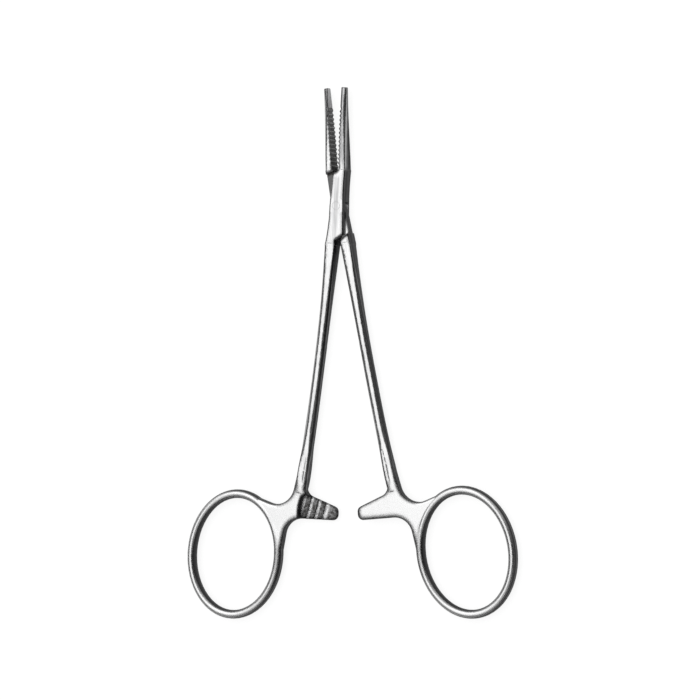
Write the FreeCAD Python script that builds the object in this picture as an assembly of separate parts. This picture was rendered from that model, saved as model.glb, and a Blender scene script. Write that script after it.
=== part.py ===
import FreeCAD, Part
import math
import os

# Straight haemostatic forceps, 125 mm, lying flat.
# Units are millimetres. X points to the right, Y to the jaw tips, Z up.
# The origin is on the hinge axis, at the underside of the box lock.
# Both halves are drawn in the closed position, with their closing line on Y:
# the tongue half has its jaw on the left and its shank on the right, the box
# half is the mirror image of it. They are then turned apart to the rest pose.

# Rest pose
REST_OPENING_DEG = 7.2

# Box lock
BOX_THICKNESS = 4.0
BOX_HALF_WIDTH = 1.85
BOX_EDGE_ROUND = 0.6
JAW_ROOT_Y = 8.4
SHANK_ROOT_Y = -9.2
JAW_ROOT_WIDTH = 2.1
OWN_EDGE_BULGE = 0.12
UPPER_EDGE_TAPER = 0.6
LOWER_EDGE_FLARE = 0.1
UPPER_SHOULDER_Y = 7.9
UPPER_SHOULDER_DEG = 16.0
LOWER_SHOULDER_Y = -7.9
LOWER_SHOULDER_DEG = 33.0
SHOULDER_GAP = 0.2
CLOSING_CLEARANCE = 0.05
ROOT_STEP = 0.06
RUN_OUT_LENGTH = 1.2
RUN_OUT_DROP = 0.1

# Tongue and hinge pin
TONGUE_THICKNESS = 1.7
TONGUE_FACE_CLEARANCE = 0.05
TONGUE_BOSS_RADIUS = 1.6
TONGUE_BOSS_CLEARANCE = 0.08
PIN_RADIUS = 0.95
PIN_RUNNING_CLEARANCE = 0.03
STOP_OPENING_DEG = 44.5

# Jaws: the tips meet first, and the gap at the root is for each jaw
JAW_REACH = 27.6
JAW_ROOT_GAP = 0.3
JAW_TIP_WIDTH = 1.25
JAW_MIDDLE_WIDTH = 1.65
JAW_ROOT_THICKNESS = 3.92
JAW_MIDDLE_THICKNESS = 3.2
JAW_TIP_THICKNESS = 1.6
JAW_TIP_ROUND = 0.3
JAW_ROOT_FULLNESS = 8.0
JAW_MIDDLE_FULLNESS = 3.0
JAW_TIP_FULLNESS = 2.4
JAW_SECTIONS = 5
SERRATION_PITCH = 1.0
SERRATION_DEPTH = 0.3
SERRATION_START_Y = 8.9
SERRATION_END_Y = 23.0
SERRATION_CLEARANCE = 0.05

# Shanks
SHANK_TOP_X = 1.38
SHANK_TOP_Y = -8.6
SHANK_END_X = 7.6
SHANK_END_Y = -67.0
SHANK_BOW = 0.5
SHANK_TOP_WIDTH = 2.6
SHANK_MIDDLE_WIDTH = 2.4
SHANK_END_WIDTH = 2.85
SHANK_TOP_THICKNESS = 3.92
SHANK_MIDDLE_THICKNESS = 2.95
SHANK_END_THICKNESS = 3.1
SHANK_TOP_FULLNESS = 8.0
SHANK_FULLNESS = 2.2
SHANK_SECTIONS = 8
SHANK_SECTION_CROWDING = 1.5
SHANK_FULLNESS_FALL = 9.0

# Finger rings
RING_CENTRE_X = 24.15
RING_CENTRE_Y = -82.2
RING_LEAN_DEG = 5.8
RING_HALF_LENGTH = 14.25
RING_HALF_WIDTH = 11.2
RING_WIRE_WIDTH = 2.05
RING_WIRE_THICKNESS = 3.1

# Web between shank and ring, by its corners and their rounding
WEB_THICKNESS = 2.8
WEB_EDGE_ROUND = 0.8
WEB_TOP_Y = -60.0
WEB_TOP_OFFSET = 1.2
WEB_LOW_JOIN_DEG = 88.0
WEB_HIGH_JOIN_DEG = 171.0
SADDLE_X = 10.3
SADDLE_Y = -71.3
SADDLE_RADIUS = 4.75
CROTCH_X = 5.9
CROTCH_Y = -67.3
CROTCH_RADIUS = 2.4
UNDERSIDE_X = 10.8
UNDERSIDE_RADIUS = 4.3

# Ratchet arm
ARM_TIP_X = -1.75
ARM_TOP_Y = -70.1
ARM_BOTTOM_Y = -73.0
ARM_TIP_RADIUS = 1.3
ARM_CLEARANCE = 0.1
ARM_STEP_X = 7.6
ARM_STEP_RADIUS = 9.8
ARM_STEP_RISE = 2.6
TOOTH_COUNT = 3
TOOTH_PITCH = 1.95
TOOTH_DEPTH = 0.55
TOOTH_LAND = 0.3
TOOTH_BACK = 0.2
TOOTH_FIRST_X = 1.6
TOOTH_LEAN_DEG = 15.0

MIDDLE_Z = BOX_THICKNESS / 2.0
AXIS = FreeCAD.Vector(0, 0, 1)
ORIGIN = FreeCAD.Vector(0, 0, 0)
FAR = 60.0
SECTION_POINTS = 16


def point(x, y, z=0.0):
    return FreeCAD.Vector(x, y, z)


def smooth(points):
    curve = Part.BSplineCurve()
    curve.interpolate(points)
    return curve.toShape()


def line(start, end):
    return Part.makeLine(start, end)


def plate(edges, bottom, top):
    """Flat body with the outline of the edges between two heights."""
    face = Part.Face(Part.Wire(Part.__sortEdges__(edges)))
    face.translate(point(0, 0, bottom))
    return face.extrude(point(0, 0, top - bottom))


def polygon_plate(points, bottom, top):
    wire = Part.makePolygon(points + [points[0]])
    face = Part.Face(wire)
    face.translate(point(0, 0, bottom))
    return face.extrude(point(0, 0, top - bottom))


def disc(radius, x, y, bottom, top):
    return Part.makeCylinder(radius, top - bottom, point(x, y, bottom), AXIS)


def blend(fraction, start, middle, end):
    """Value on the parabola through a start, a middle and an end value."""
    first = start * (1 - fraction) * (1 - 2 * fraction)
    second = middle * 4 * fraction * (1 - fraction)
    third = end * fraction * (2 * fraction - 1)
    return first + second + third


def oval_point(angle, half_width, half_thickness, fullness):
    """Point on a superellipse, across and up. Fullness 2 is an ellipse."""
    across = math.cos(angle)
    up = math.sin(angle)
    power = 2.0 / fullness
    return (math.copysign(abs(across) ** power, across) * half_width,
            math.copysign(abs(up) ** power, up) * half_thickness)


def oval_section(centre, along, width, thickness, fullness):
    """Closed oval across a bar whose direction in plan is along."""
    side = FreeCAD.Vector(-along.y, along.x, 0)
    side.normalize()
    points = []
    for index in range(SECTION_POINTS):
        angle = 2 * math.pi * (index + 0.5) / SECTION_POINTS
        across, up = oval_point(angle, width / 2, thickness / 2, fullness)
        points.append(centre + side * across + AXIS * up)
    curve = Part.BSplineCurve()
    curve.interpolate(Points=points, PeriodicFlag=True)
    return Part.Wire(curve.toShape())


def keep_solid(shape):
    """The single solid of a boolean result, with merged faces."""
    clean = shape.removeSplitter()
    solids = clean.Solids
    solids.sort(key=lambda solid: solid.Volume)
    return solids[-1]


def shoulder_y(middle_y, lean_deg, x):
    """Height of a shoulder line at some x; both rise to the right."""
    return middle_y + x * math.tan(math.radians(lean_deg))


def beyond_shoulder(middle_y, lean_deg, upward):
    """Half space past a shoulder line, moved off it by the gap."""
    side = 1.0 if upward else -1.0
    lean = math.radians(lean_deg)
    shift = side * SHOULDER_GAP / math.cos(lean)
    left = point(-FAR, shoulder_y(middle_y, lean_deg, -FAR) + shift)
    right = point(FAR, shoulder_y(middle_y, lean_deg, FAR) + shift)
    lift = point(0, side * 3 * FAR)
    corners = [left, right, right + lift, left + lift]
    return polygon_plate(corners, -1.0, BOX_THICKNESS + 1.0)


def tangent_angle(x, y):
    """Direction in which a line from a corner of the tongue meets its boss."""
    return math.atan2(y, x) + math.acos(TONGUE_BOSS_RADIUS / math.hypot(x, y))


def on_boss(angle):
    return point(TONGUE_BOSS_RADIUS * math.cos(angle), TONGUE_BOSS_RADIUS * math.sin(angle))


def shank_outer_x():
    return SHANK_TOP_X + SHANK_TOP_WIDTH / 2 + 2 * ROOT_STEP


def wall_reach():
    """Height of the slot walls' ends: the tongue meets them at the stop."""
    pocket = TONGUE_BOSS_RADIUS + TONGUE_BOSS_CLEARANCE
    touch = math.acos(TONGUE_BOSS_RADIUS / pocket)
    lean = tangent_angle(shank_outer_x(), SHANK_ROOT_Y)
    return pocket * math.sin(math.radians(STOP_OPENING_DEG) + lean - touch)


def round_long_edges(body):
    """Rounds the long edges, but not those at the jaws' closing line."""
    chosen = []
    for edge in body.Edges:
        box = edge.BoundBox
        flat = box.ZLength < 1e-6
        outer = abs(box.Center.x) > BOX_EDGE_ROUND or box.Center.y < 0
        lengthwise = box.YLength > max(box.XLength, BOX_EDGE_ROUND)
        if flat and outer and lengthwise:
            chosen.append(edge)
    return body.makeFillet(BOX_EDGE_ROUND, chosen)


def run_out(body):
    """Slopes the flats down to the shank and the jaw at their ends."""
    corners = []
    for end, inward in ((SHANK_ROOT_Y, 1.0), (JAW_ROOT_Y, -1.0)):
        flat_end = end + inward * RUN_OUT_LENGTH
        slope = [point(0, flat_end, BOX_THICKNESS), point(0, end, BOX_THICKNESS - RUN_OUT_DROP),
                 point(0, end, RUN_OUT_DROP), point(0, flat_end, 0)]
        corners.extend(slope if inward > 0 else reversed(slope))
    face = Part.Face(Part.makePolygon(corners + [corners[0]]))
    face.translate(point(-FAR, 0))
    return body.common(face.extrude(point(2 * FAR, 0)))


def box_outline():
    """Edges of the box seen from above, jaw side at the upper right."""
    gap = CLOSING_CLEARANCE
    up_x = UPPER_EDGE_TAPER - BOX_HALF_WIDTH
    low_x = BOX_HALF_WIDTH + LOWER_EDGE_FLARE
    jaw_outer = point(JAW_ROOT_WIDTH, JAW_ROOT_Y)
    jaw_inner = point(gap, JAW_ROOT_Y)
    up_inner = point(gap, shoulder_y(UPPER_SHOULDER_Y, UPPER_SHOULDER_DEG, gap))
    up_far = point(up_x, shoulder_y(UPPER_SHOULDER_Y, UPPER_SHOULDER_DEG, up_x))
    left = point(-BOX_HALF_WIDTH, 0)
    right = point(BOX_HALF_WIDTH, 0)
    shank_outer = point(-shank_outer_x(), SHANK_ROOT_Y)
    shank_inner = point(-gap, SHANK_ROOT_Y)
    low_inner = point(-gap, shoulder_y(LOWER_SHOULDER_Y, LOWER_SHOULDER_DEG, -gap))
    low_far = point(low_x, shoulder_y(LOWER_SHOULDER_Y, LOWER_SHOULDER_DEG, low_x))
    jaw_waist = (jaw_outer + right) * 0.5 - point(OWN_EDGE_BULGE, 0)
    shank_waist = (shank_outer + left) * 0.5 + point(2 * OWN_EDGE_BULGE, 0)
    return [
        Part.Arc(right, jaw_waist, jaw_outer).toShape(),
        line(jaw_outer, jaw_inner),
        line(jaw_inner, up_inner),
        line(up_inner, up_far),
        line(up_far, left),
        Part.Arc(left, shank_waist, shank_outer).toShape(),
        line(shank_outer, shank_inner),
        line(shank_inner, low_inner),
        line(low_inner, low_far),
        line(low_far, right),
    ]


def slot():
    """Room for the tongue between the two plates and the two walls."""
    half = TONGUE_THICKNESS / 2 + TONGUE_FACE_CLEARANCE
    bottom = MIDDLE_Z - half
    top = MIDDLE_Z + half
    reach = wall_reach()
    upper = polygon_plate([point(-FAR, -reach), point(0, -reach),
                           point(0, JAW_ROOT_Y), point(-FAR, JAW_ROOT_Y)], bottom, top)
    lower = polygon_plate([point(FAR, reach), point(0, reach),
                           point(0, SHANK_ROOT_Y), point(FAR, SHANK_ROOT_Y)], bottom, top)
    pocket = disc(TONGUE_BOSS_RADIUS + TONGUE_BOSS_CLEARANCE, 0, 0, bottom, top)
    return upper.fuse([lower, pocket])


def box_lock():
    """Two plates and two walls round the slot, bored for the hinge pin."""
    block = run_out(round_long_edges(plate(box_outline(), 0, BOX_THICKNESS)))
    bore = disc(PIN_RADIUS, 0, 0, -1.0, BOX_THICKNESS + 1.0)
    return block.cut([slot(), bore])


def tongue_strips(bottom, top):
    """Jaw side at the upper left and shank side at the lower right."""
    gap = CLOSING_CLEARANCE
    jaw_corner = point(-JAW_ROOT_WIDTH, JAW_ROOT_Y)
    shank_corner = point(shank_outer_x(), SHANK_ROOT_Y)
    jaw_touch = on_boss(tangent_angle(jaw_corner.x, jaw_corner.y))
    shank_touch = on_boss(tangent_angle(shank_corner.x, shank_corner.y))
    jaw_side = polygon_plate([point(-gap, jaw_touch.y), point(-gap, JAW_ROOT_Y),
                              jaw_corner, jaw_touch], bottom, top)
    shank_side = polygon_plate([point(gap, shank_touch.y), point(gap, SHANK_ROOT_Y),
                                shank_corner, shank_touch], bottom, top)
    return jaw_side, shank_side


def tongue():
    """Thin middle of the tongue half with its round boss and bore."""
    bottom = MIDDLE_Z - TONGUE_THICKNESS / 2
    top = MIDDLE_Z + TONGUE_THICKNESS / 2
    jaw_side, shank_side = tongue_strips(bottom, top)
    boss = disc(TONGUE_BOSS_RADIUS, 0, 0, bottom, top)
    bore = disc(PIN_RADIUS + PIN_RUNNING_CLEARANCE, 0, 0, bottom - 1.0, top + 1.0)
    return boss.fuse([jaw_side, shank_side]).cut(bore)


def tongue_shoulders():
    """Full thickness ends of the tongue, past the box's slanted edges."""
    jaw_side, shank_side = tongue_strips(0, BOX_THICKNESS)
    jaw_end = run_out(round_long_edges(jaw_side))
    shank_end = run_out(round_long_edges(shank_side))
    above = beyond_shoulder(UPPER_SHOULDER_Y, UPPER_SHOULDER_DEG, True)
    below = beyond_shoulder(LOWER_SHOULDER_Y, LOWER_SHOULDER_DEG, False)
    return jaw_end.common(above), shank_end.common(below)


def jaw_section(y, width, thickness, fullness):
    """Flat on the closing side, rounded on the outside."""
    inner = SERRATION_DEPTH / 2
    spans = SECTION_POINTS // 2
    points = []
    for index in range(spans + 1):
        angle = math.pi * (0.5 + index / spans)
        across, up = oval_point(angle, width + inner, thickness / 2, fullness)
        points.append(point(inner + across, y, MIDDLE_Z + up))
    return Part.Wire([smooth(points), line(points[-1], points[0])])


def jaw():
    """Left jaw, with room on its closing face for the serrations."""
    sections = []
    for index in range(JAW_SECTIONS):
        fraction = index / (JAW_SECTIONS - 1)
        y = JAW_ROOT_Y + (JAW_REACH - JAW_ROOT_Y) * fraction
        width = blend(fraction, JAW_ROOT_WIDTH - ROOT_STEP, JAW_MIDDLE_WIDTH, JAW_TIP_WIDTH)
        thickness = blend(fraction, JAW_ROOT_THICKNESS, JAW_MIDDLE_THICKNESS,
                          JAW_TIP_THICKNESS)
        fullness = blend(fraction, JAW_ROOT_FULLNESS, JAW_MIDDLE_FULLNESS, JAW_TIP_FULLNESS)
        sections.append(jaw_section(y, width, thickness, fullness))
    body = Part.makeLoft(sections, True)
    tip = [edge for edge in body.Edges if edge.BoundBox.YMin > JAW_REACH - 0.01]
    return body.makeFillet(JAW_TIP_ROUND, tip)


def face_x(y, side):
    """Closing face of a jaw before the serrations; side is -1 for the left jaw."""
    opening = JAW_ROOT_GAP * (JAW_REACH - y) / (JAW_REACH - JAW_ROOT_Y)
    return side * (SERRATION_CLEARANCE / 2 + opening)


def serration_cutter(side):
    """Everything past the zigzag closing face and the plain face at the tip."""
    points = [point(-side * FAR, 0), point(face_x(SERRATION_START_Y, side), 0),
              point(face_x(SERRATION_START_Y, side), SERRATION_START_Y)]
    steps = 2 * round((SERRATION_END_Y - SERRATION_START_Y) / SERRATION_PITCH)
    for index in range(1, steps):
        y = SERRATION_START_Y + index * SERRATION_PITCH / 2
        offset = SERRATION_DEPTH / 2 if index % 2 else -SERRATION_DEPTH / 2
        points.append(point(face_x(y, side) + offset, y))
    points.append(point(face_x(SERRATION_END_Y, side), SERRATION_END_Y))
    points.append(point(face_x(JAW_REACH, side), JAW_REACH))
    points.append(point(face_x(JAW_REACH, side), FAR))
    points.append(point(-side * FAR, FAR))
    return polygon_plate(points, -1.0, BOX_THICKNESS + 1.0)


def shank_centre(fraction):
    """Middle of the right shank, a straight run with a slight bow."""
    bow = SHANK_BOW * 4 * fraction * (1 - fraction)
    x = SHANK_TOP_X + (SHANK_END_X - SHANK_TOP_X) * fraction - bow
    y = SHANK_TOP_Y + (SHANK_END_Y - SHANK_TOP_Y) * fraction
    return point(x, y, MIDDLE_Z)


def shank():
    """Right shank from the box lock to the web."""
    sections = []
    step = 1.0 / FAR
    for index in range(SHANK_SECTIONS):
        fraction = (index / (SHANK_SECTIONS - 1)) ** SHANK_SECTION_CROWDING
        along = shank_centre(fraction + step) - shank_centre(fraction - step)
        width = blend(fraction, SHANK_TOP_WIDTH, SHANK_MIDDLE_WIDTH, SHANK_END_WIDTH)
        thickness = blend(fraction, SHANK_TOP_THICKNESS, SHANK_MIDDLE_THICKNESS,
                          SHANK_END_THICKNESS)
        squareness = (1 - fraction) ** SHANK_FULLNESS_FALL
        fullness = SHANK_FULLNESS + (SHANK_TOP_FULLNESS - SHANK_FULLNESS) * squareness
        sections.append(oval_section(shank_centre(fraction), along, width, thickness,
                                     fullness))
    return Part.makeLoft(sections, True)


def ring_axes():
    """Directions of the ring's length and width in plan."""
    lean = math.radians(RING_LEAN_DEG)
    return point(math.sin(lean), -math.cos(lean)), point(math.cos(lean), math.sin(lean))


def ring_ellipse(half_length, half_width, z):
    centre = point(RING_CENTRE_X, RING_CENTRE_Y, z)
    length_axis, width_axis = ring_axes()
    ellipse = Part.Ellipse(centre + length_axis * half_length,
                           centre + width_axis * half_width, centre)
    return Part.Wire(ellipse.toShape())


def ring():
    """Finger ring of oval wire round an oval path."""
    path = ring_ellipse(RING_HALF_LENGTH, RING_HALF_WIDTH, MIDDLE_Z)
    length_axis, width_axis = ring_axes()
    start = point(RING_CENTRE_X, RING_CENTRE_Y, MIDDLE_Z) + length_axis * RING_HALF_LENGTH
    section = oval_section(start, width_axis, RING_WIRE_WIDTH, RING_WIRE_THICKNESS, 2.0)
    return path.makePipeShell([section], True, True)


def ring_point(degrees):
    """Point on the ring's outer half, from its lower end round its inner side."""
    angle = -math.radians(degrees)
    length_axis, width_axis = ring_axes()
    margin = RING_WIRE_WIDTH / 4
    return (point(RING_CENTRE_X, RING_CENTRE_Y)
            + length_axis * (RING_HALF_LENGTH + margin) * math.cos(angle)
            + width_axis * (RING_HALF_WIDTH + margin) * math.sin(angle))


def rounded_corner(before, corner, after, radius):
    """Ends and middle of the arc that rounds a corner."""
    back = (before - corner).normalize()
    ahead = (after - corner).normalize()
    half = back.getAngle(ahead) / 2
    reach = radius / math.tan(half)
    bisector = (back + ahead).normalize()
    middle = corner + bisector * (radius / math.sin(half) - radius)
    return corner + back * reach, middle, corner + ahead * reach


def rounded_outline(corners):
    """Closed outline through (point, radius) corners; radius 0 stays sharp."""
    edges = []
    last = None
    first = None
    for index, (corner, radius) in enumerate(corners):
        before = corners[index - 1][0]
        after = corners[(index + 1) % len(corners)][0]
        start = corner
        end = corner
        if radius > 0:
            start, middle, end = rounded_corner(before, corner, after, radius)
            edges.append(Part.Arc(start, middle, end).toShape())
        if last is None:
            first = start
        else:
            edges.append(line(last, start))
        last = end
    edges.append(line(last, first))
    return edges


def web_outline():
    """Web between shank, ring and ratchet arm, and the arm itself."""
    top = shank_centre((WEB_TOP_Y - SHANK_TOP_Y) / (SHANK_END_Y - SHANK_TOP_Y))
    return rounded_outline([
        (point(top.x + WEB_TOP_OFFSET, top.y), 0),
        (point(CROTCH_X, CROTCH_Y), CROTCH_RADIUS),
        (point(ARM_TIP_X, ARM_TOP_Y), ARM_TIP_RADIUS),
        (point(ARM_TIP_X, ARM_BOTTOM_Y), ARM_TIP_RADIUS),
        (point(UNDERSIDE_X, ARM_BOTTOM_Y), UNDERSIDE_RADIUS),
        (ring_point(WEB_LOW_JOIN_DEG), 0),
        (point(RING_CENTRE_X, RING_CENTRE_Y), 0),
        (ring_point(WEB_HIGH_JOIN_DEG), 0),
        (point(SADDLE_X, SADDLE_Y), SADDLE_RADIUS),
    ])


def round_rim(body, radius):
    """Rounds a plate's top and bottom rim, except inside the ring's hole."""
    rim = []
    for edge in body.Edges:
        flat = edge.BoundBox.ZLength < 1e-6
        reach = min(math.hypot(end.X - RING_CENTRE_X, end.Y - RING_CENTRE_Y)
                    for end in edge.Vertexes)
        if flat and reach > RING_WIRE_WIDTH:
            rim.append(edge)
    return body.makeFillet(radius, rim)


def web():
    half = WEB_THICKNESS / 2
    body = plate(web_outline(), MIDDLE_Z - half, MIDDLE_Z + half)
    body = round_rim(body, WEB_EDGE_ROUND)
    hole = Part.Face(ring_ellipse(RING_HALF_LENGTH, RING_HALF_WIDTH, -1.0))
    return body.cut(hole.extrude(AXIS * (BOX_THICKNESS + 2.0)))


def arm_step(bottom, top):
    """Room above or below the milled face of the arm, with a curved end."""
    middle_y = (ARM_TOP_Y + ARM_BOTTOM_Y) / 2
    room = disc(ARM_STEP_RADIUS, ARM_STEP_X - ARM_STEP_RADIUS, middle_y, bottom, top)
    rise = ARM_TOP_Y + ARM_STEP_RISE
    strip = polygon_plate([point(-FAR, rise), point(FAR, rise),
                           point(FAR, -FAR * 2), point(-FAR, -FAR * 2)], bottom, top)
    return room.common(strip)


def tooth_profile(side):
    """Outline, seen along the arm's width, of what is milled off its face."""
    face = MIDDLE_Z - side * ARM_CLEARANCE / 2
    root = face - side * TOOTH_DEPTH
    outside = MIDDLE_Z + side * BOX_THICKNESS
    tip = TOOTH_FIRST_X - TOOTH_LAND / 2
    points = [point(-FAR, 0, outside), point(-FAR, 0, root), point(ARM_TIP_X, 0, root),
              point(tip, 0, face)]
    for index in range(TOOTH_COUNT):
        crest = TOOTH_FIRST_X + index * TOOTH_PITCH
        points.append(point(crest + TOOTH_LAND / 2, 0, face))
        points.append(point(crest + TOOTH_LAND / 2 + TOOTH_BACK, 0, root))
        points.append(point(crest + TOOTH_PITCH - TOOTH_LAND / 2, 0, face))
    points.append(point(FAR, 0, face))
    points.append(point(FAR, 0, outside))
    return points


def arm_recess(side):
    """What the mill takes off the arm; side 1 leaves the lower half."""
    points = tooth_profile(side)
    face = Part.Face(Part.makePolygon(points + [points[0]]))
    middle_y = (ARM_TOP_Y + ARM_BOTTOM_Y) / 2
    face.translate(point(0, middle_y - FAR / 2))
    milled = face.extrude(point(0, FAR, 0))
    milled.rotate(point(TOOTH_FIRST_X, middle_y), AXIS, TOOTH_LEAN_DEG)
    return milled.common(arm_step(-BOX_THICKNESS, 2 * BOX_THICKNESS))


def handle(side):
    """Shank, web, ratchet arm and finger ring of the right-hand shank."""
    body = shank().fuse([web(), ring()])
    return body.cut(arm_recess(side))


def mirrored(body):
    return body.mirror(ORIGIN, point(1, 0, 0))


def make_box_half():
    """Right jaw, box lock, left shank and the lower ratchet arm."""
    shanked = mirrored(handle(1.0))
    jawed = mirrored(jaw()).cut(serration_cutter(1.0))
    body = keep_solid(box_lock().fuse([jawed, shanked]))
    body.rotate(ORIGIN, AXIS, -REST_OPENING_DEG / 2)
    return body


def make_tongue_half():
    """Left jaw, tongue through the box, right shank and the upper arm."""
    jawed = jaw().cut(serration_cutter(-1.0))
    jaw_end, shank_end = tongue_shoulders()
    middle = tongue().fuse([jaw_end, shank_end])
    body = keep_solid(middle.fuse(jawed).fuse(handle(-1.0)))
    body.rotate(ORIGIN, AXIS, REST_OPENING_DEG / 2)
    return body


def make_hinge_pin():
    return disc(PIN_RADIUS, 0, 0, 0, BOX_THICKNESS)


os.makedirs("parts", exist_ok=True)
make_box_half().exportStep("parts/box_half.step")
make_tongue_half().exportStep("parts/tongue_half.step")
make_hinge_pin().exportStep("parts/hinge_pin.step")
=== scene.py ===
import logging
import math
from dataclasses import dataclass
from enum import Enum
from typing import Any, Dict, Tuple

import bpy
from mathutils import Matrix, Vector

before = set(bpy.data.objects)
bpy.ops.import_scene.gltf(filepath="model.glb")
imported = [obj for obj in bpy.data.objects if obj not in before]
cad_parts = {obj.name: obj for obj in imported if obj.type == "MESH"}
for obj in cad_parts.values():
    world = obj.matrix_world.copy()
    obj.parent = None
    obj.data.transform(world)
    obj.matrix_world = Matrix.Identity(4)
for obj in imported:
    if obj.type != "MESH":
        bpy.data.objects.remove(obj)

LOG = logging.getLogger("hemostat")
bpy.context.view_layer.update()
MM = 0.001

Colour = Tuple[float, float, float]
Triple = Tuple[float, float, float]
Span = Tuple[float, float]

REST_LEAN_DEG = 3.6
MIDDLE_Z = 2.0 * MM
UNSTRETCHED: Triple = (1.0, 1.0, 1.0)
IN_PLANE: Triple = (1.0, 1.0, 0.0)


class Half(Enum):
    """The two forged halves, by the sign of their lean at rest."""

    BOX = -1.0
    TONGUE = 1.0

    @property
    def lean_deg(self) -> float:
        """The half's angle at rest, anticlockwise from its closed place."""
        return self.value * REST_LEAN_DEG


class Sock:
    """A node's output socket that takes part in Python expressions."""

    def __init__(self, tree: "Tree", socket: Any) -> None:
        """Keeps the node tree and the socket.

        Args:
            tree: the node tree that new Math nodes go into.
            socket: the output socket to wrap.
        """
        self.tree = tree
        self.socket = socket

    def _math(self, operation: str, *values: Any) -> "Sock":
        """Adds one Math node.

        Args:
            operation: Blender's name of the Math operation.
            values: the node's inputs, sockets or numbers.

        Returns:
            The node's result.
        """
        inputs = dict(enumerate(values))
        return self.tree.add("ShaderNodeMath", {"operation": operation}, inputs)

    def __add__(self, other: Any) -> "Sock":
        """Sum with a socket or a number."""
        return self._math("ADD", self, other)

    __radd__ = __add__

    def __sub__(self, other: Any) -> "Sock":
        """Difference from a socket or a number."""
        return self._math("SUBTRACT", self, other)

    def __rsub__(self, other: Any) -> "Sock":
        """Difference of a number and this socket."""
        return self._math("SUBTRACT", other, self)

    def __mul__(self, other: Any) -> "Sock":
        """Product with a socket or a number."""
        return self._math("MULTIPLY", self, other)

    __rmul__ = __mul__

    def __neg__(self) -> "Sock":
        """The socket with its sign changed."""
        return self._math("SUBTRACT", 0.0, self)

    def __abs__(self) -> "Sock":
        """Absolute value."""
        return self._math("ABSOLUTE", self)

    def above(self, other: Any) -> "Sock":
        """One where this is greater than the other, and zero elsewhere."""
        return self._math("GREATER_THAN", self, other)

    def highest(self, other: Any) -> "Sock":
        """The greater of this and the other."""
        return self._math("MAXIMUM", self, other)

    def lowest(self, other: Any) -> "Sock":
        """The smaller of this and the other."""
        return self._math("MINIMUM", self, other)

    def rise(self, low: Any, high: Any) -> "Sock":
        """A smooth step up between two values.

        Args:
            low: the value at which the step begins, at zero.
            high: the value at which the step ends, at one.

        Returns:
            The step as a socket from zero to one.
        """
        settings = {"interpolation_type": "SMOOTHSTEP"}
        inputs = {"Value": self, "From Min": low, "From Max": high}
        return self.tree.add("ShaderNodeMapRange", settings, inputs)

    def fall(self, low: Any, high: Any) -> "Sock":
        """A smooth step down between two values.

        Args:
            low: the value at which the step begins, at one.
            high: the value at which the step ends, at zero.

        Returns:
            The step as a socket from one to zero.
        """
        return 1.0 - self.rise(low, high)


class Tree:
    """A node tree, with one way to add any node."""

    def __init__(self, node_tree: Any) -> None:
        """Empties a node tree and keeps hold of it.

        Args:
            node_tree: the tree of a material or a world.
        """
        self.nodes = node_tree.nodes
        self.links = node_tree.links
        self.nodes.clear()

    def add(self, kind: str, settings: Dict[str, Any], inputs: Dict[Any, Any],
            output: Any = 0) -> Any:
        """Adds a node, sets it up and connects it.

        Args:
            kind: the node's type name.
            settings: attributes, which are set before the inputs.
            inputs: values or links by the input's name or number.
            output: name or number of the output to return, or None.

        Returns:
            The wrapped output socket, or None for a node that has none.
        """
        node = self.nodes.new(kind)
        for key, value in settings.items():
            setattr(node, key, value)
        for key, value in inputs.items():
            target = node.inputs[key]
            if isinstance(value, Sock):
                self.links.new(value.socket, target)
            else:
                target.default_value = value
        return None if output is None else Sock(self, node.outputs[output])

    def axis(self, vector: Sock, name: str) -> Sock:
        """One component of a vector.

        Args:
            vector: the vector to take apart.
            name: X, Y or Z.

        Returns:
            The component as a number.
        """
        return self.add("ShaderNodeSeparateXYZ", {}, {0: vector}, name)

    def turned(self, vector: Sock, degrees: float) -> Sock:
        """The vector turned about the hinge axis.

        Args:
            vector: the vector to turn.
            degrees: the angle, anticlockwise from above.

        Returns:
            The turned vector.
        """
        settings = {"rotation_type": "Z_AXIS"}
        inputs = {"Vector": vector, "Angle": math.radians(degrees)}
        return self.add("ShaderNodeVectorRotate", settings, inputs)

    def stretched(self, vector: Sock, factors: Triple) -> Sock:
        """The vector scaled along each axis.

        Args:
            vector: the vector to scale.
            factors: one factor for each axis.

        Returns:
            The scaled vector.
        """
        settings = {"operation": "MULTIPLY"}
        return self.add("ShaderNodeVectorMath", settings, {0: vector, 1: factors})

    def mix(self, factor: Sock, first: Any, second: Any) -> Sock:
        """Blend of two colours.

        Args:
            factor: zero for the first colour, one for the second.
            first: a colour or a socket.
            second: a colour or a socket.

        Returns:
            The blended colour.
        """
        low = first if isinstance(first, Sock) else (*first, 1.0)
        high = second if isinstance(second, Sock) else (*second, 1.0)
        inputs = {0: factor, 6: low, 7: high}
        return self.add("ShaderNodeMix", {"data_type": "RGBA"}, inputs, 2)

    def occlusion(self, reach: Any, inside: bool) -> Sock:
        """How open the surroundings of the point are on its own piece.

        Args:
            reach: how far to look, in metres.
            inside: whether to look into the metal instead of out of it.

        Returns:
            One where nothing is near and lower where a surface is.
        """
        settings = {"samples": 8, "inside": inside, "only_local": True}
        return self.add("ShaderNodeAmbientOcclusion", settings, {"Distance": reach}, "AO")

    def softened(self, radius: Any) -> Sock:
        """The surface's normal with its edges rounded.

        Args:
            radius: the radius of the rounding, in metres.

        Returns:
            The normal.
        """
        return self.add("ShaderNodeBevel", {"samples": 6}, {"Radius": radius})

    def surface(self, shader: Sock, output: str = "ShaderNodeOutputMaterial") -> None:
        """Connects a shader to the tree's output.

        Args:
            shader: the shader of the surface or the world.
            output: the output node's type name.
        """
        self.add(output, {}, {"Surface": shader}, None)


def new_material(name: str) -> Tuple[Any, Tree]:
    """Makes a material with an empty node tree.

    Args:
        name: the material's name.

    Returns:
        The material and its tree.
    """
    material = bpy.data.materials.new(name)
    material.use_nodes = True
    return material, Tree(material.node_tree)


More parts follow.
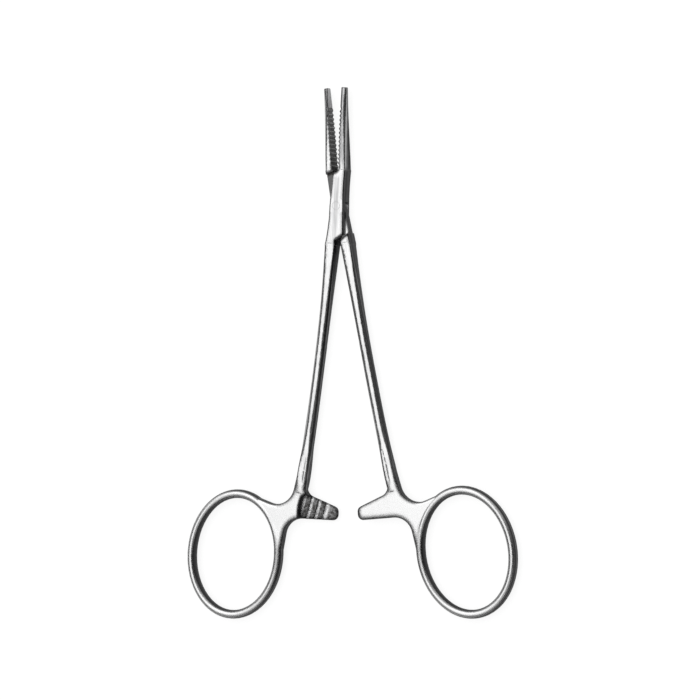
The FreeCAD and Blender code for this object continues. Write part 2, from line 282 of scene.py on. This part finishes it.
@dataclass(frozen=True)
class Grain:
    """A noise pattern, in cells to the metre of the half's frame."""

    scale: float
    detail: float
    roughness: float
    stretch: Triple = UNSTRETCHED

    def at(self, point: "Point") -> Sock:
        """Reads the noise.

        Args:
            point: the shaded point.

        Returns:
            The noise there, from zero to one.
        """
        where = point.place
        if self.stretch != UNSTRETCHED:
            where = point.tree.stretched(where, self.stretch)
        inputs = {"Vector": where, "Scale": self.scale, "Detail": self.detail,
                  "Roughness": self.roughness}
        return point.tree.add("ShaderNodeTexNoise", {}, inputs, "Fac")


class Point:
    """The shaded point, in metres in the frame of its half when closed."""

    def __init__(self, tree: Tree, lean_deg: float) -> None:
        """Adds the nodes that read the point and its normal.

        Args:
            tree: the material's node tree.
            lean_deg: the angle of the half at rest.
        """
        self.tree = tree
        here = tree.add("ShaderNodeTexCoord", {}, {}, "Object")
        self.place = tree.turned(here, -lean_deg)
        self.across = tree.axis(self.place, "X")
        self.along = tree.axis(self.place, "Y")
        self.height = tree.axis(self.place, "Z")
        self.facing = tree.add("ShaderNodeNewGeometry", {}, {}, "Normal")
        self.upright = abs(tree.axis(self.facing, "Z"))

    def off_middle(self) -> Sock:
        """Distance from the plane halfway up the instrument."""
        return abs(self.height - MIDDLE_Z)

    def from_axis(self) -> Sock:
        """Distance from the hinge axis."""
        flat = self.tree.stretched(self.place, IN_PLANE)
        return self.tree.add("ShaderNodeVectorMath", {"operation": "LENGTH"}, {0: flat}, "Value")


@dataclass(frozen=True)
class Streak:
    """A dull lengthwise streak that the polishing belt leaves on a half."""

    middle: float
    half_width: float
    low: float
    high: float
    bend: float = 0.0
    tone: Colour = (0.52, 0.52, 0.525)
    feather: Span = (0.5, 1.5)
    run_in: float = 2.0 * MM
    run_out: float = 1.0 * MM
    flat: Span = (0.75, 0.95)
    belt: Grain = Grain(2600.0, 2.0, 0.6, (1.0, 0.04, 1.0))
    belt_gate: Span = (0.22, 0.58)

    def mask(self, point: Point) -> Sock:
        """Where the streak lies.

        Args:
            point: the shaded point.

        Returns:
            One in the streak and zero off it.
        """
        across = point.across - self.middle - point.along * self.bend
        inner, outer = (self.half_width * share for share in self.feather)
        begun = point.along.rise(self.low, self.low + self.run_in)
        ended = point.along.rise(self.high - self.run_out, self.high)
        belt = self.belt.at(point).rise(*self.belt_gate)
        level = point.upright.rise(*self.flat)
        return abs(across).fall(inner, outer) * (begun - ended) * level * belt


PLATE_STREAK = Streak(middle=-0.05 * MM, half_width=0.55 * MM, low=-8.6 * MM,
                      high=7.2 * MM, bend=0.02)
JAW_STREAK = Streak(middle=1.05 * MM, half_width=0.80 * MM, low=8.6 * MM,
                    high=28.0 * MM, tone=(0.40, 0.40, 0.405))


@dataclass(frozen=True)
class MilledFace:
    """Toothed faces of the ratchet arms: bright lands over grooves in painted shade."""

    clearance: float = 0.05 * MM
    reach: float = 0.70 * MM
    top: float = -66.3 * MM
    slope: Span = (0.10, 0.35)
    land: Colour = (0.86, 0.86, 0.865)
    # Painted shade in the grooves, darker in patches at the roots.
    ground: Colour = (0.24, 0.24, 0.242)
    root_shade: Colour = (0.06, 0.058, 0.056)
    mottle: Grain = Grain(1900.0, 3.0, 0.6)
    root_shade_gate: Span = (0.40, 0.62)
    land_gate: Span = (0.30, 0.50)
    land_depth: Span = (0.03 * MM, 0.16 * MM)

    def mask(self, point: Point) -> Sock:
        """Where the milled face lies.

        Args:
            point: the shaded point.

        Returns:
            One on the milled face and zero off it.
        """
        near = 1.0 - point.off_middle().above(self.reach)
        low = 1.0 - point.along.above(self.top)
        return near * low * point.upright.rise(*self.slope)

    def colour(self, point: Point) -> Sock:
        """Light lands, and mottled painted shade on the slopes, darkest in patches at the roots.

        Args:
            point: the shaded point.

        Returns:
            The colour.
        """
        mottle = self.mottle.at(point)
        ground = point.tree.mix(mottle.rise(*self.root_shade_gate), self.root_shade, self.ground)
        land = point.tree.mix(mottle.rise(*self.land_gate), self.ground, self.land)
        depth = point.off_middle() - self.clearance
        # Deeper faces take the painted groove shade.
        return point.tree.mix(depth.rise(*self.land_depth), land, ground)


@dataclass(frozen=True)
class Shoulder:
    """A slanted shoulder of the lock: where it crosses the middle, and its slant."""

    middle: float
    slant_deg: float

    def distance(self, point: Point) -> Sock:
        """How far the shoulder is from a point.

        Args:
            point: the shaded point.

        Returns:
            The distance along the instrument.
        """
        slope = math.tan(math.radians(self.slant_deg))
        return abs(point.along - self.middle - point.across * slope)


@dataclass(frozen=True)
class LockInside:
    """Faces inside the box lock: painted shade, and a darker painted shadow along the shoulders.
    """

    # Painted shade inside the lock and painted shadow along the shoulders.
    lock_shade: Colour = (0.12, 0.12, 0.12)
    shoulder_shadow: Colour = (0.05, 0.048, 0.046)
    reach_up: float = 0.95 * MM
    reach_along: float = 10.0 * MM
    flat: float = 0.8
    lock_shade_start: Span = (0.0, 4.0 * MM)
    upper: Shoulder = Shoulder(8.1 * MM, 16.0)
    lower: Shoulder = Shoulder(-8.13 * MM, 33.0)
    strip: Span = (0.38 * MM, 0.608 * MM)

    def over(self, point: Point, colour: Sock) -> Sock:
        """Lays the lock's painted shade and shoulder shadow over another colour.

        Args:
            point: the shaded point.
            colour: the colour of everything else.

        Returns:
            The colour with the faces inside the lock.
        """
        near = 1.0 - point.off_middle().above(self.reach_up)
        within = 1.0 - abs(point.along).above(self.reach_along)
        inside = near * point.upright.above(self.flat) * within
        nearest = self.upper.distance(point).lowest(self.lower.distance(point))
        lock_shaded = point.tree.mix(inside * point.along.rise(*self.lock_shade_start), colour, self.lock_shade)
        return point.tree.mix(inside * nearest.fall(*self.strip), lock_shaded, self.shoulder_shadow)


@dataclass(frozen=True)
class Serrations:
    """Cross serrations of the closing faces: painted highlight on the crests, painted shade in
    the troughs.
    """

    root: float = 8.4 * MM
    reach: float = 27.6 * MM
    start: float = 8.9 * MM
    end: float = 23.0 * MM
    root_gap: float = 0.3 * MM
    clearance: float = 0.025 * MM
    zone_depth: float = 0.18 * MM
    trough_depth: Span = (-0.15 * MM, -0.084 * MM)
    steep: Span = (0.4, 0.6)
    # A painted highlight for the crests and painted shade for the troughs.
    crest_highlight: Colour = (0.90, 0.90, 0.90)
    trough_shade: Colour = (0.20, 0.20, 0.20)
    blotch: Grain = Grain(900.0, 2.0, 0.5)
    blotch_share: float = 0.7

    def over(self, point: Point, colour: Sock) -> Sock:
        """Lays the serrations' colours over another colour.

        Args:
            point: the shaded point.
            colour: the colour of everything else.

        Returns:
            The colour with a painted highlight on the crests and painted shade in the troughs.
        """
        gap_slope = self.root_gap / (self.reach - self.root)
        opening = (self.reach - point.along) * gap_slope
        below = abs(point.across) - opening - self.clearance
        band = point.along.above(self.start) * (1.0 - point.along.above(self.end))
        inner = 1.0 - below.above(self.zone_depth)
        blotch = (self.blotch.at(point) - 0.5) * self.blotch_share
        depth = (below.rise(*self.trough_depth) - blotch).highest(0.0).lowest(1.0)
        tooth = point.tree.mix(depth, self.crest_highlight, self.trough_shade)
        return point.tree.mix(band * inner * point.upright.fall(*self.steep), colour, tooth)


@dataclass(frozen=True)
class OutlineShade:
    """Painted shade along the edges of the flat faces, found from the metal below them."""

    rest: float = 0.42 * MM
    lock: float = 0.32 * MM
    web: float = 0.34 * MM
    lock_end: Span = (9.0 * MM, 10.5 * MM)
    hub: Span = (1.85 * MM, 2.05 * MM)
    thin: Span = (0.76, 0.98)
    flat: Span = (0.4, 0.7)

    def mask(self, point: Point, broad: Sock) -> Sock:
        """Where the painted edge shade lies.

        Args:
            point: the shaded point.
            broad: one in the web and the arm, where the edge is widest.

        Returns:
            One at the outline of a flat face and zero inside it.
        """
        from_axis = point.from_axis()
        reach = broad * self.web + from_axis.fall(*self.lock_end) * self.lock + self.rest
        below = point.tree.occlusion(reach, inside=True)
        off_pin = from_axis.rise(*self.hub)
        return below.fall(*self.thin) * point.upright.rise(*self.flat) * off_pin


@dataclass(frozen=True)
class Zones:
    """Where the regions of a half lie, each from zero to one."""

    web: Sock
    broad: Sock
    tip: Sock
    jaw: Sock
    side: Sock
    shaded_recess: Sock


@dataclass(frozen=True)
class Texture:
    """The noise patterns at the shaded point."""

    brushing: Sock
    speckle: Sock
    cloud: Sock
    grain: Sock


@dataclass(frozen=True)
class SatinSteel:
    """Satin stainless steel: lengthwise brushing, blasted webs, and painted shade on walls,
    roundings, outlines and grooves.
    """

    name: str
    lean_deg: float
    streaks: Tuple[Streak, ...] = ()

    face: Colour = (0.88, 0.88, 0.88)
    dull: Colour = (0.66, 0.66, 0.665)
    # Painted shade of the upright walls, and a paler grey within that shade.
    flank_shade: Colour = (0.04, 0.04, 0.041)
    pale_flank_shade: Colour = (0.24, 0.24, 0.242)
    # Painted shade on the roundings and along the outlines of the flat faces.
    rim_shade: Colour = (0.06, 0.06, 0.061)
    tip: Colour = (0.72, 0.72, 0.725)
    # Painted shade in recesses and grooves, placed by occlusion.
    recess_shade: Colour = (0.05, 0.048, 0.046)

    brushing: Grain = Grain(7000.0, 3.0, 0.65, (1.0, 0.05, 1.0))
    speckle: Grain = Grain(2700.0, 3.0, 0.6)
    cloud: Grain = Grain(240.0, 3.0, 0.5)

    web_end: Span = (-66.0 * MM, -63.0 * MM)
    web_side: Span = (12.5 * MM, 14.5 * MM)
    tip_start: Span = (20.5 * MM, 23.5 * MM)
    jaw_start: Span = (7.6 * MM, 9.6 * MM)
    wall: Span = (0.08, 0.30)
    # Gate and reach of the occlusion that places the painted recess shade.
    recess_shade_gate: Span = (0.35, 0.88)
    recess_shade_reach: float = 0.45 * MM

    dull_gate: Span = (0.28, 0.52)
    dull_share: float = 0.8
    dull_less_on_web: float = 0.55
    grain_share: float = 0.62
    grain_more_on_web: float = 0.2
    cloud_share: float = 0.22
    tip_share: float = 0.9
    recess_shade_share: float = 0.85

    # Where the painted wall shade turns paler: high on the jaws, low on the lock, with a
    # wandering edge.
    pale_shade_height: Span = (1.7 * MM, 3.0 * MM)
    pale_shade_wander: float = 1.0 * MM
    pale_shade_on_lock: float = 0.4

    edge_radius: float = 0.12 * MM
    web_radius: float = 1.30 * MM
    # Where the painted shade on the roundings begins and ends, by how upright the softened
    # normal is.
    rim_level: Span = (0.45, 0.86)
    rim_more_on_web: Span = (0.3, 0.12)
    rim_less_on_jaw: float = 0.65
    worn_gate: Span = (0.80, 0.985)
    worn_share: float = 0.45

    roughness: float = 0.22
    roughness_grain: float = 0.16
    roughness_web: float = 0.06
    roughness_wall: float = 0.15

    relief_strength: float = 0.2
    relief_depth: float = 0.02 * MM
    relief_brushing: float = 0.4
    relief_speckle: float = 0.15
    relief_more_on_web: float = 0.25

    def make(self) -> Any:
        """Builds the material.

        Returns:
            The Blender material.
        """
        material, tree = new_material(self.name)
        point = Point(tree, self.lean_deg)
        zones = self._zones(point)
        texture = self._texture(point, zones)
        rounded = tree.softened(zones.broad * self.web_radius + self.edge_radius)
        tree.surface(tree.add("ShaderNodeBsdfPrincipled", {}, {
            "Base Color": self._colour(point, zones, texture, rounded),
            "Metallic": 1.0,
            "Roughness": self._roughness(zones, texture),
            "Normal": self._relief(tree, zones, texture, rounded)}))
        return material

    def _zones(self, point: Point) -> Zones:
        """Finds the regions of the half.

        Args:
            point: the shaded point.

        Returns:
            The regions' masks.
        """
        web = point.along.fall(*self.web_end)
        return Zones(
            web=web,
            broad=web * abs(point.across).fall(*self.web_side),
            tip=point.along.rise(*self.tip_start),
            jaw=point.along.rise(*self.jaw_start),
            side=point.upright.fall(*self.wall),
            # Recesses that get painted shade.
            shaded_recess=point.tree.occlusion(self.recess_shade_reach, inside=False).fall(*self.recess_shade_gate))

    def _texture(self, point: Point, zones: Zones) -> Texture:
        """Reads the noise patterns: brushed lengthwise, blasted on the webs.

        Args:
            point: the shaded point.
            zones: the regions of the half.

        Returns:
            The patterns.
        """
        brushing = self.brushing.at(point)
        speckle = self.speckle.at(point)
        grain = brushing * (1.0 - zones.web) + speckle * zones.web
        return Texture(brushing, speckle, self.cloud.at(point), grain)

    def _colour(self, point: Point, zones: Zones, texture: Texture, rounded: Sock) -> Sock:
        """Lays the colours over each other, from the bare skin to the wear.

        Args:
            point: the shaded point.
            zones: the regions of the half.
            texture: the noise patterns.
            rounded: the normal with softened edges.

        Returns:
            The surface's colour.
        """
        tree = point.tree
        milled = MilledFace()
        on_milled = milled.mask(point)
        # Upright walls take the painted shade.
        colour = tree.mix(zones.side, self._skin(point, zones, texture),
                          self._flank_shade(point, zones, texture))
        colour = Serrations().over(point, colour)
        colour = tree.mix(on_milled, colour, milled.colour(point))
        # Painted shade along the outlines of the flat faces and on the roundings, both in the
        # rim colour.
        outline = OutlineShade().mask(point, zones.broad) * (1.0 - on_milled)
        colour = tree.mix(self._rim_shade(zones, rounded).highest(outline), colour, self.rim_shade)
        # Painted shade and shadow inside the lock.
        colour = LockInside().over(point, colour)
        # Painted shade in recesses.
        colour = tree.mix(zones.shaded_recess * self.recess_shade_share, colour, self.recess_shade)
        bare = (1.0 - zones.shaded_recess) * (1.0 - zones.broad)
        return tree.mix(self._worn_edge(point) * self.worn_share * bare, colour, self.face)

    def _skin(self, point: Point, zones: Zones, texture: Texture) -> Sock:
        """The flat faces: bright steel with dull grain, tips and streaks.

        Args:
            point: the shaded point.
            zones: the regions of the half.
            texture: the noise patterns.

        Returns:
            The colour.
        """
        tree = point.tree
        share = zones.web * self.grain_more_on_web + self.grain_share
        tone = texture.grain * share + texture.cloud * self.cloud_share
        dullness = tone.fall(*self.dull_gate)
        strength = self.dull_share - zones.web * self.dull_less_on_web
        skin = tree.mix(dullness * strength, self.face, self.dull)
        skin = tree.mix(zones.tip * self.tip_share, skin, self.tip)
        for streak in self.streaks:
            skin = tree.mix(streak.mask(point), skin, streak.tone)
        return skin

    def _flank_shade(self, point: Point, zones: Zones, texture: Texture) -> Sock:
        """The upright walls: painted shade, paler high on the jaws and low on the lock.

        Args:
            point: the shaded point.
            zones: the regions of the half.
            texture: the noise patterns.

        Returns:
            The colour.
        """
        tree = point.tree
        wander = (texture.brushing + texture.cloud - 1.0) * self.pale_shade_wander
        high = (point.height + wander).rise(*self.pale_shade_height)
        on_lock = (1.0 - high) * (1.0 - zones.jaw) * self.pale_shade_on_lock
        # Painted shade on the walls, paler high on the jaws and low on the lock.
        flank_shade = tree.mix(high * zones.jaw + on_lock, self.flank_shade, self.pale_flank_shade)
        closing = (-(tree.axis(point.facing, "X") * point.across)).above(0.0)
        return tree.mix(closing * zones.tip * self.tip_share, flank_shade, self.tip)

    def _rim_shade(self, zones: Zones, rounded: Sock) -> Sock:
        """Painted shade on the roundings between the flat faces and the walls.

        Args:
            zones: the regions of the half.
            rounded: the normal with softened edges.

        Returns:
            One on a rounding and zero on a flat face or a wall.
        """
        level = abs(rounded.tree.axis(rounded, "Z"))
        low, high = (zones.broad * more + bound
                     for bound, more in zip(self.rim_level, self.rim_more_on_web))
        # Painted shade on the roundings, weaker on the jaws.
        rim_shade = level.fall(low, high) * (1.0 - zones.side)
        return rim_shade * (1.0 - zones.jaw * self.rim_less_on_jaw)

    def _worn_edge(self, point: Point) -> Sock:
        """Polished wear along the edges.

        Args:
            point: the shaded point.

        Returns:
            One on an edge and zero on a plain face.
        """
        inputs = {0: point.tree.softened(self.edge_radius), 1: point.facing}
        agree = point.tree.add("ShaderNodeVectorMath", {"operation": "DOT_PRODUCT"},
                               inputs, "Value")
        return agree.fall(*self.worn_gate)

    def _roughness(self, zones: Zones, texture: Texture) -> Sock:
        """The gloss, which varies with the grain.

        Args:
            zones: the regions of the half.
            texture: the noise patterns.

        Returns:
            The shader's roughness.
        """
        rough = (texture.grain - 0.5) * self.roughness_grain + self.roughness
        rough = rough + zones.web * self.roughness_web
        return rough + (zones.side + zones.shaded_recess) * self.roughness_wall

    def _relief(self, tree: Tree, zones: Zones, texture: Texture, rounded: Sock) -> Sock:
        """Fine relief of the finish over softened edges.

        Args:
            tree: the material's node tree.
            zones: the regions of the half.
            texture: the noise patterns.
            rounded: the normal with softened edges.

        Returns:
            The shader's normal.
        """
        brushed = texture.brushing * (1.0 - zones.web) * self.relief_brushing
        depth = zones.web * self.relief_more_on_web + self.relief_speckle
        inputs = {"Strength": self.relief_strength, "Distance": self.relief_depth,
                  "Height": brushed + texture.speckle * depth, "Normal": rounded}
        return tree.add("ShaderNodeBump", {}, inputs, "Normal")


@dataclass(frozen=True)
class SteelPiece:
    """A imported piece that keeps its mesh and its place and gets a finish."""

    node: str
    slot: str
    finish: SatinSteel

    def dress(self) -> None:
        """Puts the finish on the piece."""
        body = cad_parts[self.node]
        body.data.materials.clear()
        body.data.materials.append(self.finish.make())
        LOG.info("%s dressed, %d faces", self.node, len(body.data.polygons))


class BoxHalf(SteelPiece):
    """The half with the box of the lock and the right jaw."""

    def __init__(self) -> None:
        """Sets the node, the slot and a finish with belt streaks."""
        finish = SatinSteel("box_half_satin", Half.BOX.lean_deg, (PLATE_STREAK, JAW_STREAK))
        super().__init__("box_half", "steel_box_half", finish)


class TongueHalf(SteelPiece):
    """The half with the tongue and the left jaw."""

    def __init__(self) -> None:
        """Sets the node, the slot and a plain finish."""
        finish = SatinSteel("tongue_half_satin", Half.TONGUE.lean_deg)
        super().__init__("tongue_half", "steel_tongue_half", finish)


class HingePin(SteelPiece):
    """The pin pressed through the box lock, ground flush with both plates."""

    def __init__(self) -> None:
        """Sets the node, the slot and the finish of the plates around it."""
        finish = SatinSteel("pin_satin", Half.BOX.lean_deg, (PLATE_STREAK, JAW_STREAK))
        super().__init__("hinge_pin", "steel_pin", finish)


@dataclass(frozen=True)
class PhotoCamera:
    """Camera above the instrument, turned to its right as in the photograph."""

    turn_deg: float = 23.5
    roll_deg: float = 1.8
    distance: float = 0.778
    lens: float = 172.6
    sensor_width: float = 36.0
    clip: Span = (0.01, 50.0)
    aim_right: float = 2.70 * MM
    aim_up: float = -33.4 * MM
    aim_height: float = 2.0 * MM

    def make(self) -> None:
        """Creates the camera and makes it the scene's own."""
        roll = math.radians(self.roll_deg)
        turn = math.radians(self.turn_deg)
        right = Vector((math.cos(roll), -math.sin(roll), 0.0))
        up = Vector((math.sin(roll), math.cos(roll), 0.0))
        out = Vector((0.0, 0.0, 1.0))
        aim = right * self.aim_right + up * self.aim_up + out * self.aim_height
        back = right * math.sin(turn) + out * math.cos(turn)
        side = right * math.cos(turn) - out * math.sin(turn)
        data = bpy.data.cameras.new("photo_camera")
        data.lens = self.lens
        data.sensor_width = self.sensor_width
        data.clip_start, data.clip_end = self.clip
        camera = bpy.data.objects.new("photo_camera", data)
        bpy.context.scene.collection.objects.link(camera)
        rotation = Matrix((side, up, back)).transposed().to_4x4()
        camera.matrix_world = Matrix.Translation(aim + back * self.distance) @ rotation
        bpy.context.scene.camera = camera
        LOG.info("camera %.0f mm away", self.distance / MM)


@dataclass(frozen=True)
class Floor:
    """Pale paper just under the instrument, which shows white to the camera."""

    size: float = 30.0
    gap: float = 0.02 * MM
    colour: Colour = (0.46, 0.46, 0.46)
    glow: float = 0.62
    glow_strength: float = 1.35

    def make(self) -> None:
        half = self.size / 2
        mesh = bpy.data.meshes.new("floor")
        corners = [(-half, -half, 0), (half, -half, 0), (half, half, 0), (-half, half, 0)]
        mesh.from_pydata(corners, [], [(0, 1, 2, 3)])
        mesh.materials.append(self._paper())
        floor = bpy.data.objects.new("floor", mesh)
        floor.location = (0.0, 0.0, -self.gap)
        bpy.context.scene.collection.objects.link(floor)
        LOG.info("floor laid")

    def _paper(self) -> Any:
        """Grey paper, with an even glow that only the camera sees.

        Returns:
            The Blender material.
        """
        material, tree = new_material("floor_paper")
        paper = tree.add("ShaderNodeBsdfDiffuse", {}, {"Color": (*self.colour, 1.0)})
        glow = tree.add("ShaderNodeEmission", {}, {"Strength": self.glow_strength})
        factor = tree.add("ShaderNodeLightPath", {}, {}, "Is Camera Ray") * self.glow
        tree.surface(tree.add("ShaderNodeMixShader", {}, {0: factor, 1: paper, 2: glow}))
        return material


@dataclass(frozen=True)
class Lamps:
    """One soft box above on the left and an even light for the floor."""

    target: Triple = (0.0, -0.033, 0.0)
    box_radiance: float = 1.15
    box_size: Tuple[float, float] = (1.2, 1.7)
    box_direction: Triple = (-0.20, 0.34, 1.0)
    box_distance: float = 0.95
    sun_strength: float = 1.95
    sun_direction: Triple = (0.15, 0.1, 1.0)
    sun_angle_deg: float = 120.0
    sun_distance: float = 2.0

    def make(self) -> None:
        """Adds both lamps; the floor's own stays out of the reflections."""
        box = self._lamp("soft_box", "AREA", self.box_direction, self.box_distance)
        width, length = self.box_size
        box.data.shape = "RECTANGLE"
        box.data.size = width
        box.data.size_y = length
        box.data.energy = self.box_radiance * math.pi * width * length
        sun = self._lamp("floor_light", "SUN", self.sun_direction, self.sun_distance)
        sun.data.energy = self.sun_strength
        sun.data.angle = math.radians(self.sun_angle_deg)
        sun.visible_glossy = False

    def _lamp(self, name: str, kind: str, direction: Triple, distance: float) -> Any:
        """Adds a lamp that points at the instrument.

        Args:
            name: the lamp's name.
            kind: AREA or SUN.
            direction: from the instrument to the lamp.
            distance: how far away it stands, in metres.

        Returns:
            The lamp object.
        """
        lamp = bpy.data.objects.new(name, bpy.data.lights.new(name, kind))
        bpy.context.scene.collection.objects.link(lamp)
        way = Vector(direction).normalized()
        lamp.location = Vector(self.target) + way * distance
        lamp.rotation_euler = way.to_track_quat("Z", "Y").to_euler()
        LOG.info("lamp %s placed", name)
        return lamp


@dataclass(frozen=True)
class Room:
    """Dim room in the reflections, lighter on some sides; white to the camera."""

    dark: float = 0.025
    back: float = 0.55
    back_span: Span = (0.15, 0.85)
    left: float = 0.06
    left_span: Span = (0.1, 0.8)
    front: float = 0.42
    front_span: Span = (0.15, 0.5)
    front_height: Span = (0.3, 0.5)

    def make(self) -> None:
        """Builds the world."""
        world = bpy.data.worlds.new("studio_world")
        bpy.context.scene.world = world
        world.use_nodes = True
        tree = Tree(world.node_tree)
        way = tree.add("ShaderNodeTexCoord", {}, {}, "Generated")
        across, along, up = (tree.axis(way, name) for name in "XYZ")
        back = along.rise(*self.back_span) * self.back
        left = (-across).rise(*self.left_span) * self.left
        front = (-along).rise(*self.front_span) * self.front * up.rise(*self.front_height)
        seen = tree.add("ShaderNodeLightPath", {}, {}, "Is Camera Ray")
        light = (back.highest(left).highest(front) + self.dark).highest(seen)
        grey = tree.add("ShaderNodeCombineColor", {}, dict.fromkeys(
            ("Red", "Green", "Blue"), light))
        shade = tree.add("ShaderNodeBackground", {}, {"Color": grey, "Strength": 1.0})
        tree.surface(shade, "ShaderNodeOutputWorld")
        LOG.info("room set")


def main() -> None:
    """Sets up the camera and the studio and dresses the instrument."""
    logging.basicConfig(level=logging.INFO, format="%(name)s: %(message)s")
    bpy.context.scene.view_settings.view_transform = "Standard"
    for maker in (PhotoCamera(), Floor(), Lamps(), Room()):
        maker.make()
    for piece in (BoxHalf(), TongueHalf(), HingePin()):
        piece.dress()


if __name__ == "__main__":
    main()
